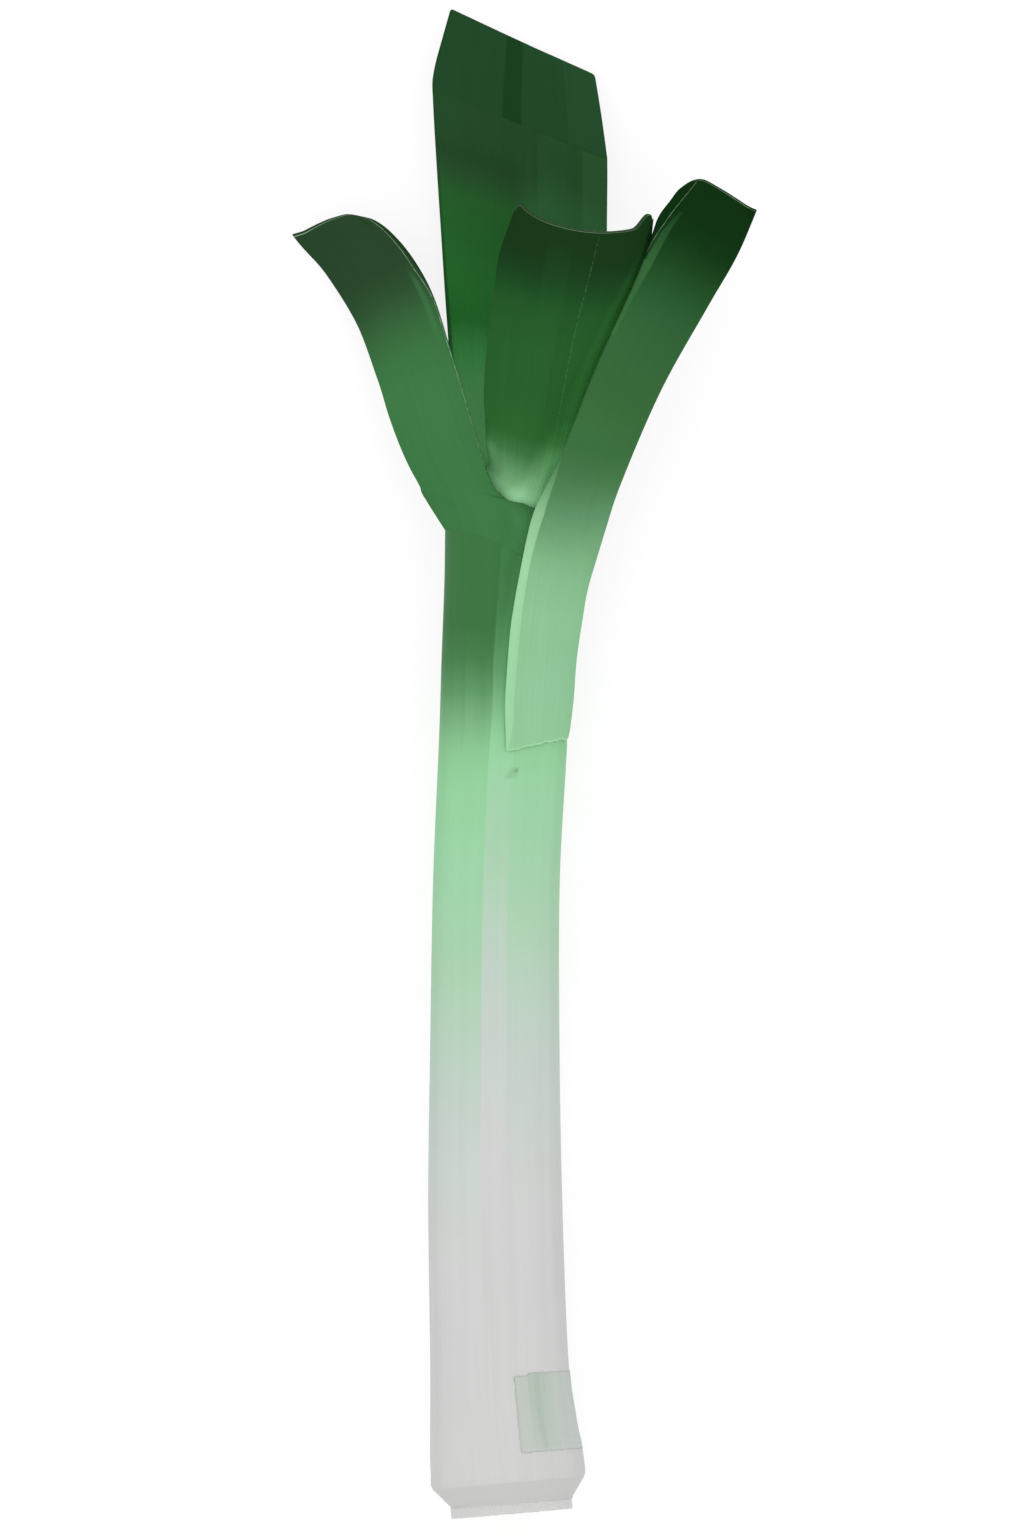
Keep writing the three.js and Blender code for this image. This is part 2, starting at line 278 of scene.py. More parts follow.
def new_group(name, inputs, outputs):
    group = bpy.data.node_groups.new(name, "ShaderNodeTree")
    for socket in inputs:
        kind = "NodeSocketVector" if socket == "Vector" else "NodeSocketFloat"
        group.interface.new_socket(name=socket, in_out="INPUT", socket_type=kind)
    for socket in outputs:
        group.interface.new_socket(name=socket, in_out="OUTPUT", socket_type="NodeSocketFloat")
    given = group.nodes.new("NodeGroupInput").outputs
    result = group.nodes.new("NodeGroupOutput").inputs
    return group, given, result


# Each noise in the fibres: its scale across and along them, its layer and its detail
WANDER_NOISE = (0.3, 0.02, 0.0, 1.0)
STRENGTH_NOISE = (0.9, 0.035, 4.0, 2.0)
STREAK_NOISE = (0.42, 0.008, 9.0, 3.0)
FIBRE_NOISE_RANGE = (0.3, 0.7)
VEIN_WANDER = 2.4
VEIN_FROM, FAINTEST_VEIN = 0.1, 0.15


def fibre_group():
    """Fine parallel veins at a pitch, and broader soft streaks that run the same way."""
    group, given, result = new_group("fibres", ("Across", "Along", "Pitch"), ("Veins", "Streaks"))

    def stretched(across, along, layer, detail):
        """Noise with its own scale across and along the fibres."""
        place = node(group, "CombineXYZ", (
            (0, calc(group, "MULTIPLY", given["Across"], across)),
            (1, calc(group, "MULTIPLY", given["Along"], along)),
            (2, layer),
        )).outputs[0]
        return soft_noise(group, place, 1.0, detail)

    wander = calc(group, "SUBTRACT", stretched(*WANDER_NOISE), 0.5)
    drift = calc(group, "MULTIPLY", wander, VEIN_WANDER)
    phase = calc(group, "DIVIDE", calc(group, "ADD", given["Across"], drift), given["Pitch"])
    wave = calc(group, "SINE", calc(group, "MULTIPLY", phase, math.tau))
    strength = rescale(group, stretched(*STRENGTH_NOISE), *FIBRE_NOISE_RANGE, FAINTEST_VEIN, 1.0)
    veins = calc(group, "MULTIPLY", rescale(group, wave, VEIN_FROM, 1.0), strength)
    group.links.new(veins, result["Veins"])
    streaks = rescale(group, stretched(*STREAK_NOISE), *FIBRE_NOISE_RANGE, soft=False)
    group.links.new(streaks, result["Streaks"])
    return group


# How fine the breaks in a stripe are, and the range of the noise that makes them
CRUMB_SCALE, CRUMB_RANGE = 0.8, (0.46, 0.54)


def stripe_group():
    """One long band on the skin. It can drift sideways, widen, fade at its ends and break up."""
    sockets = (
        "Across", "Along", "Start", "End", "Middle Start", "Middle End", "Half Start", "Half End",
        "Edge", "Fade", "Breaks", "Strength",
    )
    group, given, result = new_group("stripe", sockets, ("Mask",))
    passed = calc(group, "SUBTRACT", given["Along"], given["Start"])
    left = calc(group, "SUBTRACT", given["End"], given["Along"])
    share = calc(group, "DIVIDE", passed, calc(group, "ADD", passed, left), clamp=True)

    def drawn(first, last):
        growth = calc(group, "SUBTRACT", given[last], given[first])
        return calc(group, "MULTIPLY_ADD", growth, share, given[first])

    middle = drawn("Middle Start", "Middle End")
    away = calc(group, "ABSOLUTE", calc(group, "SUBTRACT", given["Across"], middle))
    beyond = calc(group, "SUBTRACT", away, drawn("Half Start", "Half End"))
    inside = calc(group, "DIVIDE", beyond, given["Edge"])
    inside = rescale(group, inside, -1.0, 1.0, 1.0, 0.0)
    ends = calc(group, "MINIMUM", passed, left)
    ends = rescale(group, calc(group, "DIVIDE", ends, given["Fade"]), 0.0, 1.0)
    spot = node(group, "CombineXYZ", ((0, given["Across"]), (1, given["Along"]))).outputs[0]
    crumbs = rescale(group, soft_noise(group, spot, CRUMB_SCALE, 1.0), *CRUMB_RANGE)
    whole = calc(group, "SUBTRACT", 1.0, calc(group, "MULTIPLY", crumbs, given["Breaks"]))
    mask = calc(group, "MULTIPLY", calc(group, "MULTIPLY", inside, ends), whole)
    group.links.new(calc(group, "MULTIPLY", mask, given["Strength"]), result["Mask"])
    return group


# How many clouds and grains there are to a metre, and the range of the noise that makes them
CLOUD_SCALE, CLOUD_RANGE = 42.0, (0.35, 0.7)
GRAIN_SCALE, GRAIN_RANGE = 1500.0, (0.35, 0.65)


def bloom_group():
    """The cloudy bloom of wax on the skin, with fine grains in it."""
    group, given, result = new_group("wax_bloom", ("Vector",), ("Cloud", "Grain"))
    cloud = rescale(group, soft_noise(group, given["Vector"], CLOUD_SCALE, 3.0), *CLOUD_RANGE)
    grain = rescale(group, soft_noise(group, given["Vector"], GRAIN_SCALE, 2.0), *GRAIN_RANGE)
    group.links.new(cloud, result["Cloud"])
    group.links.new(grain, result["Grain"])
    return group


fibres = fibre_group()
stripe = stripe_group()
wax_bloom = bloom_group()


def ramp(tree, value, stops):
    """A colour ramp over a value in millimetres, from (millimetre, colour code) stops."""
    first, last = stops[0][0], stops[-1][0]
    made = node(tree, "ValToRGB", ((0, rescale(tree, value, first, last, soft=False)),))
    elements = made.color_ramp.elements
    elements.remove(elements[1])
    elements[0].position = 0
    elements[0].color = colour(stops[0][1])
    for place, code in stops[1:]:
        elements.new((place - first) / (last - first)).color = colour(code)
    return made.outputs[0]


def attribute(tree, name):
    return node(tree, "Attribute", attribute_name=name, attribute_type="GEOMETRY").outputs["Fac"]


def placed(tree, group, **inputs):
    """A shared node group placed in a material. Underscores stand for spaces in socket names."""
    made = tree.nodes.new("ShaderNodeGroup")
    made.node_tree = group
    for name, value in inputs.items():
        socket = made.inputs[name.replace("_", " ")]
        if isinstance(value, bpy.types.NodeSocket):
            tree.links.new(value, socket)
        else:
            socket.default_value = value
    return made.outputs


def striped(tree, base, across, along, stripes):
    """The base colour with each stripe laid over it. Two codes make a stripe's colour run."""
    for code, start, end, middles, halves, edge, fade, breaks, strength in stripes:
        mask = placed(
            tree, stripe, Across=across, Along=along, Start=start, End=end,
            Middle_Start=middles[0], Middle_End=middles[1], Half_Start=halves[0], Half_End=halves[1],
            Edge=edge, Fade=fade, Breaks=breaks, Strength=strength,
        )["Mask"]
        if isinstance(code, str):
            paint = colour(code)
        else:
            paint = ramp(tree, along, ((start, code[0]), (end, code[1])))
        base = blended(tree, mask, base, paint)
    return base


def skin_material(name, specular):
    """A new plant-skin material: its node tree and its shader."""
    material = bpy.data.materials.new(name)
    material.use_nodes = True
    tree = material.node_tree
    shader = tree.nodes["Principled BSDF"]
    shader.inputs["Specular IOR Level"].default_value = specular
    return material, tree, shader


def finish_skin(tree, shader, base, height, roughness, relief):
    """Joins a colour, a roughness and a relief in metres to the shader."""
    bump = node(tree, "Bump", (("Height", height), ("Distance", relief), ("Strength", 1.0)))
    tree.links.new(base, shader.inputs["Base Color"])
    tree.links.new(roughness, shader.inputs["Roughness"])
    tree.links.new(bump.outputs[0], shader.inputs["Normal"])


def grainy(tree, bloom, least, spread):
    """A roughness that rises with the wax grains, from its least by a spread."""
    return calc(tree, "MULTIPLY_ADD", bloom["Grain"], spread, least)


def ribbed(tree, thread, bloom, grains):
    """The height of the veins, with the wax grains over them at a share of it."""
    return calc(tree, "MULTIPLY_ADD", bloom["Grain"], grains, thread["Veins"])


def skin_value(tree, thread, bloom, veins, streaks, cloud):
    """How light the skin is against its plain colour, from its veins, streaks and bloom."""
    value = calc(tree, "MULTIPLY_ADD", thread["Veins"], veins, 1 - veins / 3 - streaks / 2 - cloud / 2)
    value = calc(tree, "MULTIPLY_ADD", thread["Streaks"], streaks, value)
    return calc(tree, "MULTIPLY_ADD", bloom["Cloud"], cloud, value)


# Each stop: how far up the plant in millimetres, and the colour there
SHANK_STOPS = (
    (0, "D0D0CF"), (62, "D0D1D0"), (77, "CCD2CD"), (93, "C7D1CA"), (108, "C0D1C5"),
    (123, "B5D2BA"), (138, "A9D2B0"), (153, "A1D3AA"), (168, "9BD4A5"), (183, "94D09D"),
    (191, "8CC893"), (198.5, "79B280"), (206, "5D9764"), (214, "457E4B"), (222, "3C7541"),
    (246, "3C7541"), (262, "5E9A60"),
)
# A light green laid thinly over the skin as painted light, to lift the shade that falls beside and
# under other leaves
PAINTED_LIGHT_TINT = "94FFA4"

# Each stripe: its colour or the two that it runs between, its start and end up the plant,
# its middle and half width at both, how soft its edge is, how long its ends fade, how much
# it breaks up and how strong it is. Across, this stem and the torn skin count in
# millimetres round from the top, and a leaf counts from -1 at one margin to 1 at the other
SHANK_STRIPES = (
    (("629C69", "538F5A"), 211, 218.5, (0.65, 1.25), (3.35, 3.75), 0.25, 0.01, 0, 1),
    (("538F5A", "47814E"), 218.5, 226, (1.25, 1.7), (3.75, 4.1), 0.25, 0.01, 0, 1),
    (("47814E", "417D48"), 226, 236, (1.7, 2.4), (4.1, 4.5), 0.25, 0.01, 0, 1),
    (("417D48", "428048"), 236, 248, (2.4, 2.8), (4.5, 4.5), 0.25, 0.01, 0, 1),
    # Painted light: these three pale stripes lift the shade that falls on the stem along the right
    # leaf's left edge
    ("98FFA8", 196, 216, (1.3, 1.8), (2.0, 2.0), 1.6, 4, 0, 0.12),
    (PAINTED_LIGHT_TINT, 212, 226, (1.7, 2.5), (2.0, 2.0), 1.6, 4, 0, 0.14),
    (PAINTED_LIGHT_TINT, 222, 243, (2.05, 5.1), (2.0, 2.0), 1.6, 4, 0, 0.15),
    ("8DC092", 183.4, 186.9, (2.3, 3.6), (1.6, 1.1), 0.7, 0.9, 0, 0.7),
    ("78AB7D", 185.0, 186.7, (3.6, 4.0), (0.6, 0.5), 0.35, 0.6, 0, 0.7),
    ("84C08A", 186.5, 193.0, (3.4, 3.2), (0.1, 0.1), 0.2, 2.0, 0, 0.5),
    # Painted shade: the chamfer at the foot is painted a little greyer for its tilt away from the
    # light
    ("C9CAC8", 0.0, 6.5, (0.0, 0.0), (60.0, 60.0), 1.0, 0.1, 0, 1),
)
PALE_STRIP_LEFT, PALE_STRIP_RIGHT = -0.21, 0.185
PALE_STRIP_LEFT_EDGE, PALE_STRIP_RIGHT_EDGE = 0.012, 0.02
PALE_STRIP_SHIFT = 29
STRIP_DRIFT, STRIP_DRIFT_TURN = (185, 212), 0.045
RIGHT_SHIFT, RIGHT_END = 15, (1.5, 2.6)
SHIFT_FADE, SHIFT_LEFT = (178, 200), 0.2
UNEVEN_REACH = 3
# Where the flanks begin, in radians, and how much darker they are painted: painted shade where the
# stem turns away from the light
FLANK_TURN, FLANK_SHADE = (0.9, 1.15), 0.05
SHANK_VEIN_PITCH = 1.15


def edge_at(tree, value, place, softness):
    """0 below a place and 1 above it, with a soft edge."""
    return rescale(tree, value, place - softness, place + softness)


def shank_skin():
    """White at the foot, greener up the stem, with one strip that stays pale for longer. Painted shade
    darkens its flanks and the chamfer at its foot, and painted light lifts the shade beside the right
    leaf's edge.
    """
    material, tree, shader = skin_material("shank_skin", 0.05)
    up, turn = attribute(tree, "up"), attribute(tree, "turn")
    arc = calc(tree, "MULTIPLY", turn, SHANK_ARC_RADIUS)
    thread = placed(tree, fibres, Across=arc, Along=up, Pitch=SHANK_VEIN_PITCH)
    bloom = placed(tree, wax_bloom, Vector=node(tree, "TexCoord").outputs["Object"])
    border = calc(tree, "SUBTRACT", turn, rescale(tree, up, *STRIP_DRIFT, 0.0, STRIP_DRIFT_TURN))
    strip_start = edge_at(tree, border, PALE_STRIP_LEFT, PALE_STRIP_LEFT_EDGE)
    strip_end = edge_at(tree, turn, PALE_STRIP_RIGHT, PALE_STRIP_RIGHT_EDGE)
    side_end = rescale(tree, turn, *RIGHT_END)
    shift = calc(tree, "MULTIPLY", strip_start, PALE_STRIP_SHIFT)
    shift = calc(tree, "MULTIPLY_ADD", strip_end, RIGHT_SHIFT - PALE_STRIP_SHIFT, shift)
    shift = calc(tree, "MULTIPLY_ADD", side_end, -RIGHT_SHIFT, shift)
    shift = calc(tree, "MULTIPLY", shift, rescale(tree, up, *SHIFT_FADE, 1.0, SHIFT_LEFT))
    uneven = calc(tree, "MULTIPLY", calc(tree, "SUBTRACT", thread["Streaks"], 0.5), UNEVEN_REACH)
    reach = calc(tree, "ADD", calc(tree, "SUBTRACT", up, shift), uneven)
    base = ramp(tree, reach, SHANK_STOPS)
    flank = rescale(tree, calc(tree, "ABSOLUTE", turn), *FLANK_TURN, 0.0, FLANK_SHADE)
    value = skin_value(tree, thread, bloom, veins=0.02, streaks=0.04, cloud=0.02)
    base = brightened(tree, base, calc(tree, "SUBTRACT", value, flank))
    base = striped(tree, base, arc, up, SHANK_STRIPES)
    roughness = grainy(tree, bloom, least=0.46, spread=0.08)
    height = ribbed(tree, thread, bloom, grains=0.12)
    finish_skin(tree, shader, base, height, roughness, relief=0.00003)
    return material


add_piece("shank_skin", shank_mesh(), [shank_skin()], ["shank"])

# ---------------------------------------------------------------------------
# Root plate. The knife took the roots off flat and left this hard disc at the foot. It is
# one turned disc, its rim rounded, its cut face dished and marked by the stubs of the roots.
# ---------------------------------------------------------------------------

ROOT_RADIUS = 15.3
ROOT_THICKNESS = 2.6
ROOT_TILT = 5
ROOT_LEAN = -3.4
ROOT_RIM = 0.14
ROOT_SIDES = 128
ROOT_FACE_RINGS = 12
ROOT_DISH = 0.35
STUB_COUNT, STUB_SPREAD = 46, 0.93
STUB_RADIUS, STUB_HEIGHT = 0.85, 0.3
GOLDEN_TURN = math.pi * (3 - math.sqrt(5))
# How far the skin has to face down the plant to be the cut face, and how brown that is
CUT_FACING = (-0.9, -0.6)
CUT_BROWN = 0.8


def root_plate_mesh():
    """A disc whose outer face is divided into rings, with a small mound for each root stub."""
    shape = bmesh.new()
    bmesh.ops.create_cone(
        shape, cap_ends=True, segments=ROOT_SIDES,
        radius1=ROOT_RADIUS, radius2=ROOT_RADIUS, depth=ROOT_THICKNESS,
    )
    shape.faces.ensure_lookup_table()
    rim = [edge for edge in shape.edges if abs(edge.verts[0].co.z - edge.verts[1].co.z) < 0.1]
    bmesh.ops.bevel(
        shape, geom=rim, offset=ROOT_RIM, affect="EDGES", segments=3, profile=0.5, material=-1,
    )
    face = min(shape.faces, key=lambda one: one.calc_center_median().z)
    width = (ROOT_RADIUS - ROOT_RIM) / (ROOT_FACE_RINGS + 1)
    for _ in range(ROOT_FACE_RINGS):
        bmesh.ops.inset_individual(shape, faces=[face], thickness=width, use_even_offset=True)
    stubs = []
    for count in range(STUB_COUNT):
        away = ROOT_RADIUS * STUB_SPREAD * math.sqrt((count + 0.5) / STUB_COUNT)
        stubs.append((away * math.cos(count * GOLDEN_TURN), away * math.sin(count * GOLDEN_TURN)))
    floor_z = -ROOT_THICKNESS / 2
    for vert in shape.verts:
        if vert.co.z > floor_z + 0.01:
            continue
        nearest = min(math.hypot(vert.co.x - x, vert.co.y - y) for x, y in stubs)
        away = math.hypot(vert.co.x, vert.co.y) / ROOT_RADIUS
        vert.co.z += ROOT_DISH * (1 - away**2)
        vert.co.z -= STUB_HEIGHT * math.exp(-((nearest / STUB_RADIUS) ** 4)) * (1 - away**6)
    bmesh.ops.recalc_face_normals(shape, faces=shape.faces)
    for one in shape.faces:
        one.smooth = True
    for degrees, axis in ((-90, "X"), (ROOT_TILT, "Z"), (ROOT_LEAN, "X")):
        turned = Matrix.Rotation(math.radians(degrees), 3, axis)
        bmesh.ops.rotate(shape, verts=shape.verts, cent=(0, 0, 0), matrix=turned)
    bmesh.ops.translate(shape, verts=shape.verts, vec=(0, 0, CROWN_HEIGHT))
    return shape


def root_skin():
    """Pale on the rim, and brown and pitted on the cut face."""
    material, tree, shader = skin_material("root_skin", 0.08)
    bloom = placed(tree, wax_bloom, Vector=node(tree, "TexCoord").outputs["Object"])
    facing = node(tree, "SeparateXYZ", ((0, node(tree, "NewGeometry").outputs["Normal"]),)).outputs[1]
    cut = rescale(tree, facing, *CUT_FACING, 1.0, 0.0)
    base = blended(tree, bloom["Cloud"], colour("D8D9D8"), colour("D3D4D2"))
    pitted = blended(tree, bloom["Grain"], colour("C9C2AC"), colour("A99C7C"))
    base = blended(tree, calc(tree, "MULTIPLY", cut, CUT_BROWN), base, pitted)
    roughness = grainy(tree, bloom, least=0.6, spread=0.12)
    finish_skin(tree, shader, base, bloom["Grain"], roughness, relief=0.00012)
    return material


add_piece("root_disc", root_plate_mesh(), [root_skin()], ["root_plate"])

# ---------------------------------------------------------------------------
# Torn skin. A dry scrap of the outermost sheath still clings over the bulb. It is one thin
# curved film, ragged where it tore, in two layers that end a little apart at the top.
# ---------------------------------------------------------------------------

SCRAP_FROM_Y, SCRAP_TO_Y = 13.7, 33.6
SCRAP_FROM_TURN, SCRAP_TO_TURN = 0.209, 1.85
SCRAP_STEP_TURN, SCRAP_STEP_SOFTNESS = 0.41, 0.012
SCRAP_STEP = 0.65
SCRAP_LIFT, SCRAP_CORNER_LIFT = 0.03, 3
SCRAP_THICKNESS = 0.12
# How deep the tears are, and how many there are to a radian of an end or to the whole side
SCRAP_RAGGED, SCRAP_TEARS = 0.28, 14
SCRAP_SIDE_RAGGED, SCRAP_SIDE_TEARS = 0.02, 9
SCRAP_COLUMNS, SCRAP_RINGS = 90, 56
SCRAP_VEIN_PITCH = 0.9
SCRAP_STREAKS, SCRAP_VEINS = 0.4, 0.25
SCRAP_STOPS = ((13, "C3C8C3"), (17, "BFC7BF"), (25, "B9C4BB"), (34, "B6C2B8"))
SCRAP_STRIPES = (
    ("C2C9C1", 12, 36, (4.9, 4.9), (1.8, 1.8), 0.15, 0.5, 0, 0.7),
    ("ABBBAD", 12, 36, (9.3, 9.0), (0.7, 0.8), 0.3, 3.0, 0, 0.5),
    ("C6CBC6", 12, 36, (17.5, 17.5), (5.0, 5.0), 1.5, 0.5, 0, 0.6),
    ("C6CCC6", 12, 14.6, (12.0, 12.0), (14.0, 14.0), 0.5, 0.4, 0, 0.5),
)


def scrap_mesh():
    """A thin film laid round the bulb, its top edge a little lower to the left of a step."""
    shape = bmesh.new()
    bmesh.ops.create_grid(shape, x_segments=SCRAP_COLUMNS, y_segments=SCRAP_RINGS, size=1)
    bmesh.ops.solidify(shape, geom=shape.faces[:], thickness=1)
    up = shape.verts.layers.float.new("up")
    turn_layer = shape.verts.layers.float.new("turn")
    for vert in shape.verts:
        side = (vert.co.x + 1) / 2
        share = (vert.co.y + 1) / 2
        inner = abs(vert.co.z)
        turn = SCRAP_FROM_TURN + (SCRAP_TO_TURN - SCRAP_FROM_TURN) * side
        under = smoothstep((turn - SCRAP_STEP_TURN) / SCRAP_STEP_SOFTNESS, 1, -1)
        tear = noise.noise(Vector((turn * SCRAP_TEARS, share * 0.5, 3.0))) * SCRAP_RAGGED
        y = SCRAP_FROM_Y + (SCRAP_TO_Y - SCRAP_FROM_Y) * share
        y += tear * smoothstep(abs(share - 0.5), 0.3, 0.5)
        y -= SCRAP_STEP * under * smoothstep(share, 0.85, 1)
        side_tear = noise.noise(Vector((share * SCRAP_SIDE_TEARS, 0, 8.0))) * SCRAP_SIDE_RAGGED
        turn += side_tear * smoothstep(side, 0.1, 0)
        ring = shank_ring(y)
        corner = smoothstep(abs(share - 0.5), 0.36, 0.5) * smoothstep(side, 0.25, 0)
        lift = SCRAP_LIFT * (1 + SCRAP_CORNER_LIFT * corner) + shank_relief(y, turn)
        vert.co = on_ring(ring, turn, ring[3] + lift + SCRAP_THICKNESS * (1 - inner))
        vert[up] = y
        vert[turn_layer] = turn
    bmesh.ops.recalc_face_normals(shape, faces=shape.faces)
    for face in shape.faces:
        face.smooth = True
    return shape


def scrap_skin():
    material, tree, shader = skin_material("scrap_skin", 0.1)
    up, turn = attribute(tree, "up"), attribute(tree, "turn")
    arc = calc(tree, "MULTIPLY", turn, SHANK_ARC_RADIUS)
    thread = placed(tree, fibres, Across=arc, Along=up, Pitch=SCRAP_VEIN_PITCH)
    bloom = placed(tree, wax_bloom, Vector=node(tree, "TexCoord").outputs["Object"])
    base = ramp(tree, up, SCRAP_STOPS)
    streaks = calc(tree, "MULTIPLY", thread["Streaks"], SCRAP_STREAKS)
    base = blended(tree, streaks, base, colour("B0BEB2"))
    base = blended(tree, calc(tree, "MULTIPLY", thread["Veins"], SCRAP_VEINS), base, colour("CCD2CB"))
    base = striped(tree, base, arc, up, SCRAP_STRIPES)
    roughness = grainy(tree, bloom, least=0.45, spread=0.1)
    finish_skin(tree, shader, base, thread["Veins"], roughness, relief=0.00008)
    return material


add_piece("torn_scrap", scrap_mesh(), [scrap_skin()], ["torn_skin"])

# ---------------------------------------------------------------------------
# Back leaf. The longest leaf grows from the back of the neck and lies behind the others with
# its inner face up. It is one strap, folded once across near the end and cut off on a slant.
# ---------------------------------------------------------------------------

LEAF_COLUMNS, LEAF_RINGS = 44, 104
BLADE_THICKNESS = 2.2
MARGIN_THINNING = 0.4
CUT_FROM = 0.85
TIP_FROM = 0.8
BOW_TO = 0.15
SEAM_BOW = 0.0162
KEEL_RIDGE, KEEL_WIDTH, KEEL_FLATTENS_FROM = 0.22, 0.07, 0.7
BLADE_RIBS, RIBS_ACROSS, RIBS_ALONG, RIBS_THROUGH = 0.07, 9, 1.6, 7
RELIEF_FULL_FROM = 0.1
LEAF_VEIN_PITCH = 1.25
LEAF_UNEVEN_REACH = 1.5
# On a cut face: the radians of the wave of vein ends on each half, and how far out from the
# middle of the thickness the skin begins and ends
VEIN_END_WAVE = 100.0
RIM_SKIN = (0.36, 0.5)

# Each row: keel x, y and z, roll, left and right widths, left and right curls and slants
BACK_ROWS = [
    (7.0, 236.3, 1.83, 151.5, 24, 24, 85, 85, 0.82, 0.82),
    (6.6, 250, 1.13, 157, 24, 24, 80, 80, 0.3, 0.3),
    (5.4, 263, 0.63, 166, 23.2, 23.2, 66, 66, 0.2, 0.2),
    (4.6, 285, 1.33, 175, 22, 22, 44, 44, 0.2, 0.2),
    (3.6, 308, 3.73, 178, 21.4, 21.7, 25, 25, 0.3, 0.3),
    (2.8, 330, 6.93, 180, 21.7, 22.1, 14, 14, 0.38, 0.38),
    (2.3, 346.3, 9.03, 180, 22.1, 22.4, 8, 8, 0.44, 0.44),
    (2.2, 350.8, 8.73, 180, 22.0, 22.2, 8, 8, 0.44, 0.44),
    (2.5, 360, 5.43, 180, 20.4, 20.4, 7, 7, 0.44, 0.44),
    (2.8, 369.65, 2.13, 180, 18.4, 18.4, 6, 6, 0.427, 0.427),
]


def corners(left, right, start, power=1.5):
    """An outline that runs on by so much, or stops short, towards its left and right corners."""

    def outline(side):
        share = max(0, abs(side) - start) / (1 - start)
        return (left if side < 0 else right) * share**power

    return outline


class Leaf:
    """A strap of leaf that follows its keel, the middle line of its outer face."""

    def __init__(self, rows, square_base, cut_end, tip_share, bow=0, base_share=1, base_length=1):
        self.table = SmoothRows(rows)
        self.square_base = square_base
        self.cut_end = cut_end
        self.tip_share = tip_share
        self.bow = bow
        self.base_share = base_share
        self.base_length = base_length

    @functools.lru_cache(maxsize=None)
    def section(self, share):
        """The row at a share of the length, its tangent and its sideways and outward directions."""
        row = self.table.at(share)
        step = 0.001
        ahead, behind = self.table.at(min(share + step, 1)), self.table.at(max(share - step, 0))
        along = (Vector(ahead[:3]) - Vector(behind[:3])).normalized()
        tangent = Vector((0, 1, 0)).lerp(along, smoothstep(share, 0, self.square_base)).normalized()
        right = tangent.cross(Vector((0, 0, 1))).normalized()
        over = right.cross(tangent)
        roll = math.radians(row[3])
        sideways = right * math.cos(roll) - over * math.sin(roll)
        outward = right * math.sin(roll) + over * math.cos(roll)
        return row, tangent, sideways, outward

    def thickness(self, side, share):
        margin = 1 - MARGIN_THINNING * side**4
        base = min(1, self.base_share + (1 - self.base_share) * share / self.base_length)
        tip = 1 + (self.tip_share - 1) * smoothstep(share, TIP_FROM, 1)
        return BLADE_THICKNESS * margin * base * tip

    def point(self, side, share, inner):
        """A point of the leaf: side from -1 to 1, share of the length, inner 0 outside, 1 inside."""
        row, tangent, sideways, outward = self.section(share)
        keel = Vector(row[:3])
        half, curl, slant = (row[4], row[6], row[8]) if side < 0 else (row[5], row[7], row[9])
        curl = math.radians(curl)
        radius = half / curl
        ridge = KEEL_RIDGE * math.exp(-((side / KEEL_WIDTH) ** 2))
        ridge *= 1 - smoothstep(share, KEEL_FLATTENS_FROM, 1)
        rib_place = Vector((side * RIBS_ACROSS, share * RIBS_ALONG, inner * RIBS_THROUGH))
        relief = (ridge + BLADE_RIBS * noise.noise(rib_place)) * smoothstep(share, 0, RELIEF_FULL_FROM)
        depth = relief - inner * self.thickness(side, share)
        place = keel + sideways * (radius + depth) * math.sin(side * curl)
        place += outward * ((radius + depth) * math.cos(side * curl) - radius)
        aside = place.x - keel.x
        place.y -= slant * aside + self.bow * aside**2 * (1 - smoothstep(share, 0, BOW_TO))
        return place + tangent * self.cut_end(side) * smoothstep(share, CUT_FROM, 1)


def leaf_mesh(leaf, fringe=None):
    """The leaf's closed strap of quads, its cut faces on the second material."""
    shape = bmesh.new()
    bmesh.ops.create_grid(shape, x_segments=LEAF_COLUMNS, y_segments=LEAF_RINGS, size=1)
    bmesh.ops.solidify(shape, geom=shape.faces[:], thickness=1)
    across = shape.verts.layers.float.new("across")
    up = shape.verts.layers.float.new("up")
    inside = shape.verts.layers.float.new("inside")
    crease = shape.edges.layers.float.new("crease_edge")
    for edge in shape.edges:
        if all(abs(vert.co.y) > 0.9999 for vert in edge.verts) and edge.calc_length() < 0.9:
            edge[crease] = 1
            edge.smooth = False
    for face in shape.faces:
        face.smooth = True
        if all(vert.co.y > 0.9999 for vert in face.verts):
            face.material_index = 1
    for vert in shape.verts:
        side, share, inner = vert.co.x, (vert.co.y + 1) / 2, abs(vert.co.z)
        vert[across] = side
        vert[up] = leaf.section(share)[0][1]
        vert[inside] = inner
        vert.co = leaf.point(side, share, inner)
        if fringe:
            vert.co += fringe(side, share)
    bmesh.ops.recalc_face_normals(shape, faces=shape.faces)
    return shape


def cut_flesh():
    """The dark moist flesh where the knife went through, dotted by the ends of the veins."""
    material, tree, shader = skin_material("cut_flesh", 0.06)
    across, inside = attribute(tree, "across"), attribute(tree, "inside")
    dots = calc(tree, "SINE", calc(tree, "MULTIPLY", across, VEIN_END_WAVE))
    skin = calc(tree, "ABSOLUTE", calc(tree, "SUBTRACT", inside, 0.5))
    base = blended(tree, rescale(tree, dots, 0.5, 1.0), colour("1F421F"), colour("2A4F2A"))
    base = blended(tree, rescale(tree, skin, *RIM_SKIN), base, colour("183518"))
    bloom = placed(tree, wax_bloom, Vector=node(tree, "TexCoord").outputs["Object"])
    roughness = grainy(tree, bloom, least=0.42, spread=0.1)
    finish_skin(tree, shader, base, bloom["Grain"], roughness, relief=0.00006)
    return material


